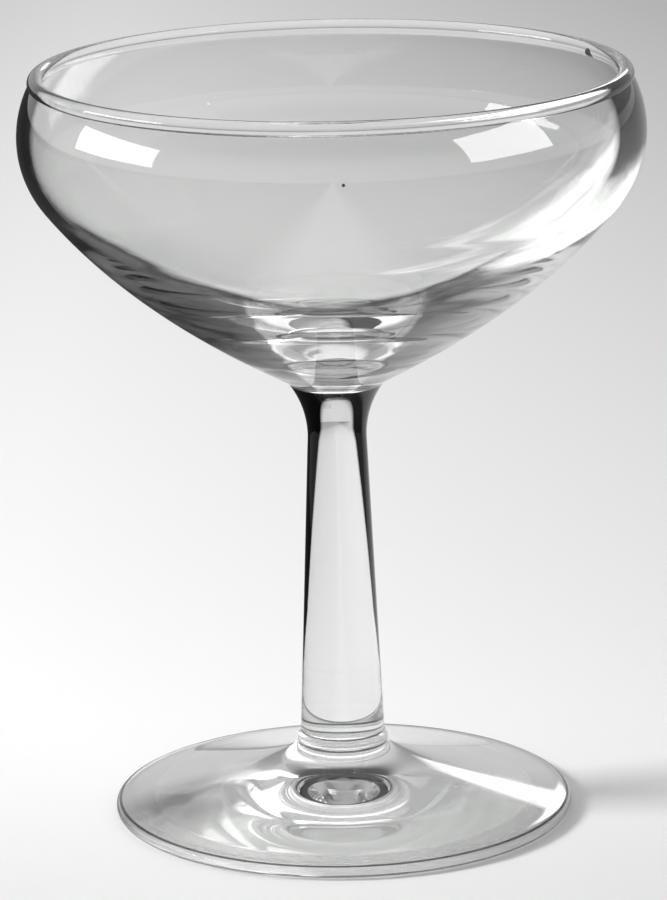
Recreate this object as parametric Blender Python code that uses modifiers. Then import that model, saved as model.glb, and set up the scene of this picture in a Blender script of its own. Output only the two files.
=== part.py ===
"""Sherbet glass: a blown bowl, a tapered solid stem and a round foot, joined hot one above the other.

Each piece is a profile turned about the Z axis. Metres, +Z up, origin on the table under the axis.
"""

import math

import bpy
from mathutils import Vector

# Foot
FOOT_DIAMETER = 0.0697
FOOT_EDGE_THICKNESS = 0.0022
FOOT_EDGE_WIDEST = 0.0010
FOOT_EDGE_ROLL = 0.0026
FOOT_EDGE_SLOPE = math.radians(13.0)
FOOT_EDGE_REACH = 0.80
FOOT_NECK_HEIGHT = 0.0104
FOOT_NECK_SLOPE = math.radians(80.0)
FOOT_NECK_REACH = 0.06
ROLL_REACH = 0.45
WELD_BEAD_HEIGHT = 0.0015
WELD_BEAD_PROUD = 0.00035
REST_RING_WIDTH = 0.0050
UNDERSIDE_HOLLOW = 0.0025

# Stem
STEM_BASE_DIAMETER = 0.0128
STEM_WAIST_DIAMETER = 0.0089
STEM_TAPER_LENGTH = 0.0461
FLARE_RADIUS = 0.0138
FLARE_SEAM_TURN = math.radians(36.0)

# Bowl
BOWL_DIAMETER = 0.0933
BELLY_ABOVE_SEAM = 0.0381
BELLY_ARC_RADIUS = 0.0160
BELLY_END_TURN = math.radians(38.0)
RIM_ABOVE_BELLY = 0.0097
SHOULDER_ARC_RADIUS = 0.0170
RIM_BEAD_RADIUS = 0.0012
WALL_THICKNESS = 0.0013
INNER_END_TURN = math.radians(36.0)
HEEL_THICKNESS = 0.0080
HEEL_FILLET_RADIUS = 0.0030
HEEL_TURN = math.radians(62.0)
INNER_FLOOR_REACH = 0.35
INNER_WALL_REACH = 0.30
OUTER_CONE_REACH = 0.33

# Hot joints: a hair of clearance keeps the three bodies separate.
SEAM_CLEARANCE = 0.0003

# Clear soda-lime glass: thin in the bowl, thicker and so a little greener in the stem and the foot
THIN_GLASS_COLOUR = (0.94, 0.95, 0.95)
THICK_GLASS_COLOUR = (0.92, 0.94, 0.94)
GLASS_IOR = 1.52
BOWL_ROUGHNESS = 0.02
STEM_ROUGHNESS = 0.03
FOOT_ROUGHNESS = 0.04

# Fineness of the turned surfaces: steps about the axis, and spans in each run of a profile
BOWL_STEPS = 64
STEM_STEPS = 48
FOOT_STEPS = 64
CURVE_SPANS = 10
FLARE_SPANS = 7
BEAD_SPANS = 8
ARC_SPANS = 5
MERGE_DISTANCE = 0.00001

# Heights above the table that follow from the sizes
STEM_BOTTOM = FOOT_NECK_HEIGHT + WELD_BEAD_HEIGHT + SEAM_CLEARANCE
WAIST_HEIGHT = STEM_BOTTOM + STEM_TAPER_LENGTH
STEM_TOP = WAIST_HEIGHT + FLARE_RADIUS * math.sin(FLARE_SEAM_TURN)
BOWL_BOTTOM = STEM_TOP + SEAM_CLEARANCE
BELLY_LEVEL = BOWL_BOTTOM + BELLY_ABOVE_SEAM
BEAD_LEVEL = BELLY_LEVEL + RIM_ABOVE_BELLY - RIM_BEAD_RADIUS


def arc(centre, radius, start, end, count):
    """Points on a circle in the profile plane, from one angle to another, both ends included."""
    points = []
    for index in range(count + 1):
        angle = start + (end - start) * index / count
        points.append(centre + radius * Vector((math.cos(angle), math.sin(angle))))
    return points


def curve(start, start_way, start_reach, end, end_way, end_reach, count=CURVE_SPANS):
    """Points on a cubic curve that leaves and arrives along given ways; a reach is a share of the span."""
    span = (end - start).length
    handle_out = start + start_reach * span * start_way.normalized()
    handle_in = end - end_reach * span * end_way.normalized()
    points = []
    for index in range(count + 1):
        t = index / count
        s = 1.0 - t
        points.append(s**3 * start + 3 * s * s * t * handle_out + 3 * s * t * t * handle_in + t**3 * end)
    return points


def flare():
    """The concave flare at the top of the stem, from its seam with the bowl down to the waist."""
    centre = Vector((STEM_WAIST_DIAMETER / 2 + FLARE_RADIUS, WAIST_HEIGHT))
    return arc(centre, FLARE_RADIUS, math.pi - FLARE_SEAM_TURN, math.pi, FLARE_SPANS)


def chain(*runs):
    """One profile from runs of points, without the points that two runs share."""
    points = []
    for run in runs:
        for point in run:
            if not points or (point - points[-1]).length > MERGE_DISTANCE:
                points.append(point)
    return points


def glass(name, colour, roughness):
    """A clear glass of the given colour and polish."""
    material = bpy.data.materials.new(name)
    material.use_nodes = True
    shader = material.node_tree.nodes["Principled BSDF"]
    shader.inputs["Base Color"].default_value = (*colour, 1.0)
    shader.inputs["Roughness"].default_value = roughness
    shader.inputs["Metallic"].default_value = 0.0
    shader.inputs["IOR"].default_value = GLASS_IOR
    shader.inputs["Transmission Weight"].default_value = 1.0
    return material


def turned(name, profile, steps, material, collection):
    """A solid turned about Z from a profile that runs from the axis, over the top and down the outside."""
    mesh = bpy.data.meshes.new(name)
    vertices = [(point.x, 0.0, point.y) for point in profile]
    edges = [(index, index + 1) for index in range(len(vertices) - 1)]
    mesh.from_pydata(vertices, edges, [])
    piece = bpy.data.objects.new(name, mesh)
    collection.objects.link(piece)
    screw = piece.modifiers.new("turn", "SCREW")
    screw.axis = "Z"
    screw.angle = math.tau
    screw.steps = steps
    screw.render_steps = steps
    screw.use_merge_vertices = True
    screw.merge_threshold = MERGE_DISTANCE
    screw.use_smooth_shade = True
    mesh.materials.append(material)
    return piece


def bead_spread(wall_radius, middle_radius):
    """How far round the shoulder's arc a face of the wall meets the rim bead, from the bead's middle."""
    across = wall_radius**2 + middle_radius**2 - RIM_BEAD_RADIUS**2
    return math.acos(across / (2 * wall_radius * middle_radius))


def bowl_profile():
    """Inner floor to rim, round the bead, then down the outside to the seam with the stem."""
    belly_radius = BOWL_DIAMETER / 2
    shoulder_centre = Vector((belly_radius - SHOULDER_ARC_RADIUS, BELLY_LEVEL))
    belly_centre = Vector((belly_radius - BELLY_ARC_RADIUS, BELLY_LEVEL))

    # The bead sits on the middle of the wall, so both faces of the wall run into it.
    middle_radius = SHOULDER_ARC_RADIUS - WALL_THICKNESS / 2
    bead_turn = math.asin((BEAD_LEVEL - BELLY_LEVEL) / middle_radius)
    bead_centre = shoulder_centre + middle_radius * Vector((math.cos(bead_turn), math.sin(bead_turn)))
    inner_radius = SHOULDER_ARC_RADIUS - WALL_THICKNESS
    inner_turn = bead_turn - bead_spread(inner_radius, middle_radius)
    outer_turn = bead_turn - bead_spread(SHOULDER_ARC_RADIUS, middle_radius)

    floor = Vector((0.0, BOWL_BOTTOM + HEEL_THICKNESS))
    inner_belly = arc(belly_centre, BELLY_ARC_RADIUS - WALL_THICKNESS, -INNER_END_TURN, 0.0, ARC_SPANS)
    inner_way = Vector((math.sin(INNER_END_TURN), math.cos(INNER_END_TURN)))
    outward = Vector((1.0, 0.0))
    inner_floor = curve(floor, outward, INNER_FLOOR_REACH, inner_belly[0], inner_way, INNER_WALL_REACH)
    inner_shoulder = arc(shoulder_centre, inner_radius, 0.0, inner_turn, ARC_SPANS)
    outer_shoulder = arc(shoulder_centre, SHOULDER_ARC_RADIUS, outer_turn, 0.0, ARC_SPANS)
    bead_start = inner_shoulder[-1] - bead_centre
    bead_end = outer_shoulder[0] - bead_centre
    start_angle = math.atan2(bead_start.y, bead_start.x) + math.tau
    end_angle = math.atan2(bead_end.y, bead_end.x)
    bead = arc(bead_centre, RIM_BEAD_RADIUS, start_angle, end_angle, BEAD_SPANS)
    outer_belly = arc(belly_centre, BELLY_ARC_RADIUS, 0.0, -BELLY_END_TURN, ARC_SPANS)

    # The heel turns out from the stem's flare on a small fillet, then runs up the outer cone.
    seam_edge = flare()[0] + Vector((0.0, SEAM_CLEARANCE))
    seam_outward = Vector((math.cos(FLARE_SEAM_TURN), -math.sin(FLARE_SEAM_TURN)))
    fillet_centre = seam_edge + HEEL_FILLET_RADIUS * seam_outward
    seam_angle = math.pi - FLARE_SEAM_TURN
    heel = arc(fillet_centre, HEEL_FILLET_RADIUS, math.pi - HEEL_TURN, seam_angle, ARC_SPANS)
    belly_way = Vector((-math.sin(BELLY_END_TURN), -math.cos(BELLY_END_TURN)))
    heel_way = Vector((-math.sin(HEEL_TURN), -math.cos(HEEL_TURN)))
    outer_cone = curve(outer_belly[-1], belly_way, OUTER_CONE_REACH, heel[0], heel_way, OUTER_CONE_REACH)
    seam = [Vector((0.0, BOWL_BOTTOM))]
    inside = chain(inner_floor, inner_belly, inner_shoulder)
    outside = chain(outer_shoulder, outer_belly, outer_cone, heel)
    return chain(inside, bead, outside, seam)


def stem_profile():
    """Flared top, waist and straight taper down to the base."""
    top = [Vector((0.0, STEM_TOP))]
    base = [Vector((STEM_BASE_DIAMETER / 2, STEM_BOTTOM)), Vector((0.0, STEM_BOTTOM))]
    return chain(top, flare(), base)


def foot_profile():
    """Neck with its weld bead, low dome, rolled edge, resting ring and hollow underside."""
    neck_radius = STEM_BASE_DIAMETER / 2
    seam_height = FOOT_NECK_HEIGHT + WELD_BEAD_HEIGHT
    weld = []
    for index in range(ARC_SPANS + 1):
        drop = index / ARC_SPANS
        proud = WELD_BEAD_PROUD * (drop + math.sin(math.pi * drop))
        weld.append(Vector((neck_radius + proud, seam_height - WELD_BEAD_HEIGHT * drop)))

    # The edge is widest a little above the table: its top rolls off slowly and its underside is tight.
    widest = Vector((FOOT_DIAMETER / 2, FOOT_EDGE_WIDEST))
    crown = Vector((FOOT_DIAMETER / 2 - FOOT_EDGE_ROLL, FOOT_EDGE_THICKNESS))
    neck_way = Vector((math.cos(FOOT_NECK_SLOPE), -math.sin(FOOT_NECK_SLOPE)))
    edge_way = Vector((math.cos(FOOT_EDGE_SLOPE), -math.sin(FOOT_EDGE_SLOPE)))
    down = Vector((0.0, -1.0))
    dome = curve(weld[-1], neck_way, FOOT_NECK_REACH, crown, edge_way, FOOT_EDGE_REACH)
    roll = curve(crown, edge_way, ROLL_REACH, widest, down, ROLL_REACH, ARC_SPANS)
    under = arc(widest - Vector((FOOT_EDGE_WIDEST, 0.0)), FOOT_EDGE_WIDEST, 0.0, -math.pi / 2, ARC_SPANS)

    hollow_radius = under[-1].x - REST_RING_WIDTH
    hollow = []
    for index in range(ARC_SPANS + 1):
        inward = index / ARC_SPANS
        rise = UNDERSIDE_HOLLOW * math.sin(math.pi / 2 * inward)
        hollow.append(Vector((hollow_radius * (1.0 - inward), rise)))
    top = [Vector((0.0, seam_height))]
    return chain(top, weld, dome, roll, under, hollow)


def main():
    for old in list(bpy.data.objects):
        bpy.data.objects.remove(old, do_unlink=True)
    collection = bpy.data.collections.new("sherbet_glass")
    bpy.context.scene.collection.children.link(collection)

    bowl_glass = glass("bowl_glass", THIN_GLASS_COLOUR, BOWL_ROUGHNESS)
    stem_glass = glass("stem_glass", THICK_GLASS_COLOUR, STEM_ROUGHNESS)
    foot_glass = glass("foot_glass", THICK_GLASS_COLOUR, FOOT_ROUGHNESS)
    turned("bowl", bowl_profile(), BOWL_STEPS, bowl_glass, collection)
    turned("stem", stem_profile(), STEM_STEPS, stem_glass, collection)
    turned("foot", foot_profile(), FOOT_STEPS, foot_glass, collection)


main()
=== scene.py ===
import math

import bpy
from mathutils import Matrix, Quaternion, Vector


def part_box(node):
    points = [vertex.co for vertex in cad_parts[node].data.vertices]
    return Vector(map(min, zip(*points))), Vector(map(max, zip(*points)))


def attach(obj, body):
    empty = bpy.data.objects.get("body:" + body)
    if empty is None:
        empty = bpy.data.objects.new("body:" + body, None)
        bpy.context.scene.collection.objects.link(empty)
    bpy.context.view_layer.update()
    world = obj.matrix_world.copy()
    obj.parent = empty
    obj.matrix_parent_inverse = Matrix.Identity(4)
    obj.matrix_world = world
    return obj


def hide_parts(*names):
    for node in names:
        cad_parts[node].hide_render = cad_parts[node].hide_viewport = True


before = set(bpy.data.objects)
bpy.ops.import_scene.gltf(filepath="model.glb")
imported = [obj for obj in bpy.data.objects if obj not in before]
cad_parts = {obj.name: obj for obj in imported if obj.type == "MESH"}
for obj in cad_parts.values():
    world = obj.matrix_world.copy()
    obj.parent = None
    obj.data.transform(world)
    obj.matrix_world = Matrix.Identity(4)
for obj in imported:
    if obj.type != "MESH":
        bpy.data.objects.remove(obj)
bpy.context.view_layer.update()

MM = 0.001

# Foot: the sizes that the frame's boxes don't give, the same as in the part
FOOT_EDGE_THICKNESS = 2.2 * MM
FOOT_EDGE_WIDEST = 1.0 * MM
FOOT_EDGE_ROLL = 2.6 * MM
FOOT_EDGE_SLOPE = math.radians(13.0)
FOOT_EDGE_REACH = 0.80
FOOT_NECK_SLOPE = math.radians(80.0)
FOOT_NECK_REACH = 0.06
ROLL_REACH = 0.45
WELD_BEAD_HEIGHT = 1.5 * MM
WELD_BEAD_PROUD = 0.35 * MM
REST_RING_WIDTH = 5.0 * MM
UNDERSIDE_HOLLOW = 2.5 * MM

# Stem
STEM_BASE_RADIUS = 6.4 * MM
STEM_WAIST_RADIUS = 4.45 * MM
FLARE_RADIUS = 13.8 * MM
FLARE_SEAM_TURN = math.radians(36.0)

# Bowl
BELLY_ABOVE_SEAM = 38.1 * MM
BELLY_ARC_RADIUS = 16.0 * MM
BELLY_END_TURN = math.radians(38.0)
SHOULDER_ARC_RADIUS = 17.0 * MM
RIM_BEAD_RADIUS = 1.2 * MM
WALL_THICKNESS = 1.3 * MM
INNER_END_TURN = math.radians(36.0)
HEEL_THICKNESS = 8.0 * MM
HEEL_FILLET_RADIUS = 3.0 * MM
HEEL_TURN = math.radians(62.0)
INNER_FLOOR_REACH = 0.35
INNER_WALL_REACH = 0.30
OUTER_CONE_REACH = 0.33

# Levels and radii from the frame
bowl_low, bowl_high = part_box("bowl")
stem_low, stem_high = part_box("stem")
foot_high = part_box("foot")[1]
BOWL_SEAM = (bowl_low[2] + stem_high[2]) / 2
FOOT_SEAM = (stem_low[2] + foot_high[2]) / 2
BOWL_RADIUS = bowl_high[0]
RIM_TOP = bowl_high[2]
BELLY_LEVEL = bowl_low[2] + BELLY_ABOVE_SEAM
WAIST_LEVEL = BOWL_SEAM - FLARE_RADIUS * math.sin(FLARE_SEAM_TURN)
FOOT_RADIUS = foot_high[0]

# Fineness of the turned surfaces: steps about the axis, and spans in each run of a profile
BOWL_STEPS = 192
STEM_STEPS = 128
FOOT_STEPS = 192
CURVE_SPANS = 40
ARC_SPANS = 16
BEAD_SPANS = 24
SHARED_POINT = 0.002 * MM
SMOOTH_ANGLE = math.radians(40.0)

# Camera at the photograph's viewing angle
CAMERA_BACK = 0.6867
CAMERA_HEIGHT = 0.2344
CAMERA_PITCH = math.radians(14.554)
CAMERA_YAW = math.radians(0.05)
CAMERA_ROLL = math.radians(-1.085)
FOCAL_PIXELS = 4708.5
PHOTO_HEIGHT = 900
SENSOR_HEIGHT = 24.0

# Glass
CLEAR_GLASS = "F3F4F3"
FOOT_CLEAR_GLASS = "FAFBFA"
BLACK = "000000"
WHITE = "FFFFFF"
GLASS_IOR = 1.52
HALF_BLEND = 0.5

# Welds: how much of one shows and how pale it is, by the share of the way from the axis to its edge
SEAM_LEVEL = 0.99
WELD_ROUGHNESS = 0.5
WELD_HAZE = ((0.0, 0.1), (0.80, 0.1), (0.83, 0.9), (1.0, 0.9))
BOWL_WELD_SHADE = ((0.0, 0.9), (0.91, 0.9), (0.94, 0.08), (1.0, 0.08))
FOOT_WELD_SHADE = ((0.0, 0.9), (0.80, 0.9), (0.83, 0.08), (1.0, 0.08))

# Sockets of a Mix node, by the kind of value that it mixes
FLOAT_A = 2
FLOAT_B = 3
COLOUR_A = 6
COLOUR_B = 7
COLOUR_OUT = 2

# Values that the patterns share: a noise's middle and usual ends, and the level part of a place
NOISE_LOW = 0.35
NOISE_MIDDLE = 0.5
NOISE_HIGH = 0.65
LEVEL_PART = (1.0, 1.0, 0.0)

# A ray's turns are counted whole, so a limit stands half a step from the count
HALF_STEP = 0.5
FACES_PER_MIRROR = 2.0

# What the mould and use leave on the glass
WAVE_SIZE = 14.0 * MM
WAVE_SPREAD = (WAVE_SIZE, WAVE_SIZE, WAVE_SIZE)
WAVE_DEPTH = 0.02 * MM
SMUDGE_SIZE = 16.0 * MM
SMUDGE_DETAIL = 5.0
SMUDGE_FROM = 0.52
SMUDGE_FULL = 0.80
SMUDGE_ROUGHNESS = 0.10
SCRATCH_LENGTH = 80.0 * MM
SCRATCH_APART = 5.0 * MM
SCRATCH_WIDTH = 0.006
SCRATCH_SHARE = 0.57
SCRATCH_ROUGHNESS = 0.15
DRAW_LINE_WIDTH = 0.9 * MM
DRAW_LINE_LENGTH = 60.0 * MM
DRAW_LINE_SPREAD = (DRAW_LINE_WIDTH, DRAW_LINE_WIDTH, DRAW_LINE_LENGTH)
DRAW_LINE_DEPTH = 0.006 * MM
RIM_WEAR_SIDE = (-0.80, -0.60, 0.0)
RIM_WEAR_FROM = 30.0 * MM
RIM_WEAR_FULL = 42.0 * MM
RIM_WEAR_SIZE = 1.2 * MM
RIM_WEAR_PATCH = 0.62
RIM_WEAR_ROUGHNESS = 0.20

# Seeds in the bowl, a bubble and a speck: the middle and the radius of each
SEEDS = (
    ((39.1 * MM, 16.9 * MM, 112.6 * MM), 1.1 * MM),
    ((1.5 * MM, -46.4 * MM, 106.0 * MM), 0.3 * MM),
)
SEED_DARK = "202020"

# Foot: a swirl of painted shade, painted dark lines as levels and half widths, where the hollow lies, and
# the worn ring
LINE_DARK = "383838"
FOOT_SHADE_SIZE = 12.0 * MM
FOOT_SHADE_SWIRL = 0.6
FOOT_SHADE_FROM = 0.28
FOOT_SHADE_FULL = 0.56
FOOT_SHADE_MIDDLE = (-24.5 * MM, -10.0 * MM, 4.0 * MM)
FOOT_SHADE_NEAR = 2.0 * MM
FOOT_SHADE_FAR = 14.0 * MM
FOOT_SHADE_MOST = 1.0
FOOT_SHADE_LEAST = 0.08
FOOT_SHADE_ASLANT_FROM = 0.45
FOOT_SHADE_ASLANT_FULL = 0.65
FOOT_LINES = ((10.5 * MM, 0.14 * MM), (1.90 * MM, 0.07 * MM), (0.45 * MM, 0.15 * MM))
FOOT_UNDERSIDE = (8.0 * MM, 31.0 * MM)
WORN_RING_HEIGHT = 0.1 * MM
WORN_RING_ROUGHNESS = 0.3

# Painted dark stripes down the sides of the stem: how far the glass turns away before it goes dark, by
# height
STRIPE_LOW = 20.0 * MM
STRIPE_HIGH = 66.0 * MM
STRIPE_STARTS = ((0.0, 0.8), (0.25, 0.53), (0.50, 0.40), (0.77, 0.23), (0.88, 0.17), (0.98, 0.26))
STRIPE_SOFTNESS = 0.06

# Painted shade of the heel under the inner floor, by how far the glass turns away, and its clear middle
HEEL_LOW = 87.0 * MM
HEEL_HIGH = 96.0 * MM
HEEL_START_LOW = 0.48
HEEL_START_HIGH = 0.57
HEEL_LEAN = -0.04
HEEL_SHADE = (
    (0.0, 0.97), (0.02, 0.015), (0.04, 0.11), (0.08, 0.11), (0.16, 0.01), (0.3, 0.10), (0.5, 0.5))
HEEL_PALE_LEAN = 0.9
HEEL_MIDDLE = ((0.0, 0.6), (0.075, 0.5), (0.095, 1.0), (0.12, 0.9), (0.13, 0.0))
HEEL_LINE = 0.06
HEEL_RIPPLE_SIZE = 3.0 * MM
HEEL_RIPPLE = 0.05
HEEL_STREAK_LENGTH = 22.0 * MM
HEEL_STREAK_HEIGHT = 2.2 * MM
HEEL_STREAK = 0.35

# Where a window low on the right clears the shading
CLEAR_STROKE = 12.0 * MM
CLEAR_FROM = 30.0 * MM
CLEAR_FULL = 42.0 * MM
CLEAR_LOW = 80.0 * MM
CLEAR_HIGH = 102.0 * MM
CLEAR_HEIGHTS = ((0.0, 0.0), (0.25, 1.0), (0.7, 1.0), (1.0, 0.0))

# Painted dark bands at the belly's sides
BELLY_BAND_LOW = 96.0 * MM
BELLY_BAND_HIGH = 104.0 * MM
BELLY_BAND_START = 0.59
BELLY_BAND_SOFTNESS = 0.06
BELLY_BAND_SHADE = 0.003
BELLY_BAND_LEAN = 0.065

# Floor; its light at the front and the left is given as the dim end, the full end and the least share
FLOOR_SIZE = 12.0
FLOOR_GAP = 0.1 * MM
PAPER_ROUGHNESS = 0.6
PAPER_SPECULAR = 0.0
# Painted light: the paper goes from pale to dim along the lean, to the right and behind
FLOOR_PALE = "F5F5F5"
FLOOR_DIM = "B0B0B0"
FLOOR_LEAN = (0.95, 0.31, 0.0)
FLOOR_PALE_AT = -0.03
FLOOR_DIM_AT = 0.33
FLOOR_FRONT = (-0.07, 0.05, 0.84)
FLOOR_LEFT = (-0.16, -0.055, 0.72)

# What the glass mirrors of the floor: a strip of the sheet, a pool of it round the foot, else painted shade
SHEET_NEAR = 0.015
SHEET_FAR = 0.04
SHEET_LEAN = 2.0
POOL_NEAR = 0.05
POOL_FAR = 0.08
MIRRORED_SHADE_LEFT = "404040"
MIRRORED_SHADE_RIGHT = "808080"

# What the glass sees of the room, and the even light that fills the shadows
BACKDROP_EDGE = 0.84
BACKDROP_FULL = 0.92
BACKDROP_LIGHT = 1.6
ROOM_DARK = 0.5
SKY_LOW = 0.65
SKY_HIGH = 0.08
SKY_LOW_END = 0.20
SKY_HIGH_START = 0.50
SKY_SEEN = 0.7
SKY_THROUGH = 0.75
FILL = 0.55
FILL_THROUGH = 1.75

# Enough turns for light to find its way through all the glass
MAX_BOUNCES = 32

# Lamp, window cards and flags: bearing from the camera's side, lift and roll are in degrees
AIM = Vector((0.0, 0.0, 0.1))
KEY_SOFTBOX = {"bearing": -84.0, "lift": 32.0, "away": 12.0, "width": 3.6, "height": 2.9, "light": 43.0}
CARDS = {
    "left_card": {
        "bearing": -85.0, "lift": 12.0, "away": 1.0, "roll": 0.0, "width": 0.70, "height": 0.27,
        "mirrored": 9.0, "through": 0.8, "feather": 0.02, "strokes": 0.0, "faces": 0},
    "right_card": {
        "bearing": 70.0, "lift": 20.0, "away": 1.0, "roll": 0.0, "width": 0.75, "height": 0.42,
        "mirrored": 9.0, "through": 0.8, "feather": 0.02, "strokes": 0.0, "faces": 0},
    "back_card": {
        "bearing": 169.6, "lift": 15.6, "away": 1.0, "roll": 0.0, "width": 0.20, "height": 0.16,
        "mirrored": 6.0, "through": 0.6, "feather": 0.3, "strokes": 0.0, "faces": 0},
    "low_card": {
        "bearing": 148.0, "lift": -26.0, "away": 0.150, "roll": 30.0, "width": 0.100, "height": 0.110,
        "mirrored": 0.6, "through": 2.8, "feather": 0.25, "strokes": 0.35, "faces": 4},
}
FLAGS = {
    "left_flag": {"bearing": -85.0, "lift": -19.0, "away": 0.125, "width": 0.20, "height": 0.086},
    "right_flag": {"bearing": 70.0, "lift": -19.0, "away": 0.125, "width": 0.20, "height": 0.086},
    "far_flag": {"bearing": 94.0, "lift": 30.0, "away": 0.070, "width": 0.083, "height": 0.05},
}
FLAG_GREY = 0.3

# A card is a stretched unit square: how far out its edge is, and its strokes across and along
CARD_EDGE = 0.5
STROKE_COUNTS = (16.0, 2.0, 1.0)


def arc(centre, radius, start, end, count=ARC_SPANS):
    """Points on a circle in the profile plane, from one angle to another, both ends included."""
    points = []
    for index in range(count + 1):
        angle = start + (end - start) * index / count
        points.append(centre + radius * Vector((math.cos(angle), math.sin(angle))))
    return points


def curve(start, start_way, start_reach, end, end_way, end_reach, count=CURVE_SPANS):
    """Points on a cubic curve that leaves and arrives along given ways; a reach is a share of the span."""
    span = (end - start).length
    handle_out = start + start_reach * span * start_way.normalized()
    handle_in = end - end_reach * span * end_way.normalized()
    points = []
    for index in range(count + 1):
        t = index / count
        s = 1.0 - t
        points.append(s**3 * start + 3 * s * s * t * handle_out + 3 * s * t * t * handle_in + t**3 * end)
    return points


def chain(*runs):
    """One profile from runs of points, without the points that two runs share."""
    points = []
    for run in runs:
        for point in run:
            if not points or (point - points[-1]).length > SHARED_POINT:
                points.append(point)
    return points


def flare():
    """The concave flare at the top of the stem, from its seam with the bowl down to the waist."""
    centre = Vector((STEM_WAIST_RADIUS + FLARE_RADIUS, WAIST_LEVEL))
    return arc(centre, FLARE_RADIUS, math.pi - FLARE_SEAM_TURN, math.pi, BEAD_SPANS)


def bead_spread(wall_radius, middle_radius):
    """How far round the shoulder's arc a face of the wall meets the rim bead, from the bead's middle."""
    across = wall_radius**2 + middle_radius**2 - RIM_BEAD_RADIUS**2
    return math.acos(across / (2 * wall_radius * middle_radius))


def bowl_profile():
    """Inner floor to rim, round the bead, then down the outside to the seam with the stem."""
    shoulder_centre = Vector((BOWL_RADIUS - SHOULDER_ARC_RADIUS, BELLY_LEVEL))
    belly_centre = Vector((BOWL_RADIUS - BELLY_ARC_RADIUS, BELLY_LEVEL))

    # The bead sits on the middle of the wall, so both faces of the wall run into it.
    middle_radius = SHOULDER_ARC_RADIUS - WALL_THICKNESS / 2
    bead_turn = math.asin((RIM_TOP - RIM_BEAD_RADIUS - BELLY_LEVEL) / middle_radius)
    bead_centre = shoulder_centre + middle_radius * Vector((math.cos(bead_turn), math.sin(bead_turn)))
    inner_radius = SHOULDER_ARC_RADIUS - WALL_THICKNESS
    inner_turn = bead_turn - bead_spread(inner_radius, middle_radius)
    outer_turn = bead_turn - bead_spread(SHOULDER_ARC_RADIUS, middle_radius)

    floor_middle = Vector((0.0, BOWL_SEAM + HEEL_THICKNESS))
    inner_belly = arc(belly_centre, BELLY_ARC_RADIUS - WALL_THICKNESS, -INNER_END_TURN, 0.0)
    inner_way = Vector((math.sin(INNER_END_TURN), math.cos(INNER_END_TURN)))
    outward = Vector((1.0, 0.0))
    inner_floor = curve(
        floor_middle, outward, INNER_FLOOR_REACH, inner_belly[0], inner_way, INNER_WALL_REACH)
    inner_shoulder = arc(shoulder_centre, inner_radius, 0.0, inner_turn)
    outer_shoulder = arc(shoulder_centre, SHOULDER_ARC_RADIUS, outer_turn, 0.0)
    bead_start = inner_shoulder[-1] - bead_centre
    bead_end = outer_shoulder[0] - bead_centre
    start_angle = math.atan2(bead_start.y, bead_start.x) + math.tau
    end_angle = math.atan2(bead_end.y, bead_end.x)
    bead = arc(bead_centre, RIM_BEAD_RADIUS, start_angle, end_angle, BEAD_SPANS)
    outer_belly = arc(belly_centre, BELLY_ARC_RADIUS, 0.0, -BELLY_END_TURN)

    # The heel turns out from the stem's flare on a small fillet, then runs up the outer cone.
    seam_outward = Vector((math.cos(FLARE_SEAM_TURN), -math.sin(FLARE_SEAM_TURN)))
    fillet_centre = flare()[0] + HEEL_FILLET_RADIUS * seam_outward
    seam_angle = math.pi - FLARE_SEAM_TURN
    heel = arc(fillet_centre, HEEL_FILLET_RADIUS, math.pi - HEEL_TURN, seam_angle)
    belly_way = Vector((-math.sin(BELLY_END_TURN), -math.cos(BELLY_END_TURN)))
    heel_way = Vector((-math.sin(HEEL_TURN), -math.cos(HEEL_TURN)))
    outer_cone = curve(outer_belly[-1], belly_way, OUTER_CONE_REACH, heel[0], heel_way, OUTER_CONE_REACH)
    seam = [Vector((0.0, BOWL_SEAM))]
    inside = chain(inner_floor, inner_belly, inner_shoulder)
    outside = chain(outer_shoulder, outer_belly, outer_cone, heel)
    return chain(inside, bead, outside, seam)


def stem_profile():
    """Flared top, waist and straight taper down to the base."""
    top = [Vector((0.0, BOWL_SEAM))]
    flared = flare()
    base = Vector((STEM_BASE_RADIUS, FOOT_SEAM))
    taper = []
    for index in range(ARC_SPANS + 1):
        taper.append(flared[-1].lerp(base, index / ARC_SPANS))
    bottom = [Vector((0.0, FOOT_SEAM))]
    return chain(top, flared, taper, bottom)


def foot_profile():
    """Neck with its weld bead, low dome, rolled edge, resting ring and hollow underside."""
    weld = []
    for index in range(ARC_SPANS + 1):
        drop = index / ARC_SPANS
        proud = WELD_BEAD_PROUD * (drop + math.sin(math.pi * drop))
        weld.append(Vector((STEM_BASE_RADIUS + proud, FOOT_SEAM - WELD_BEAD_HEIGHT * drop)))

    # The edge is widest a little above the table: its top rolls off slowly and its underside is tight.
    widest = Vector((FOOT_RADIUS, FOOT_EDGE_WIDEST))
    crown = Vector((FOOT_RADIUS - FOOT_EDGE_ROLL, FOOT_EDGE_THICKNESS))
    neck_way = Vector((math.cos(FOOT_NECK_SLOPE), -math.sin(FOOT_NECK_SLOPE)))
    edge_way = Vector((math.cos(FOOT_EDGE_SLOPE), -math.sin(FOOT_EDGE_SLOPE)))
    down = Vector((0.0, -1.0))
    dome = curve(weld[-1], neck_way, FOOT_NECK_REACH, crown, edge_way, FOOT_EDGE_REACH)
    roll = curve(crown, edge_way, ROLL_REACH, widest, down, ROLL_REACH, ARC_SPANS)
    under = arc(widest - Vector((FOOT_EDGE_WIDEST, 0.0)), FOOT_EDGE_WIDEST, 0.0, -math.pi / 2)

    hollow_radius = under[-1].x - REST_RING_WIDTH
    hollow = []
    for index in range(CURVE_SPANS + 1):
        inward = index / CURVE_SPANS
        rise = UNDERSIDE_HOLLOW * math.sin(math.pi / 2 * inward)
        hollow.append(Vector((hollow_radius * (1.0 - inward), rise)))
    top = [Vector((0.0, FOOT_SEAM))]
    return chain(top, weld, dome, roll, under, hollow)


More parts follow.
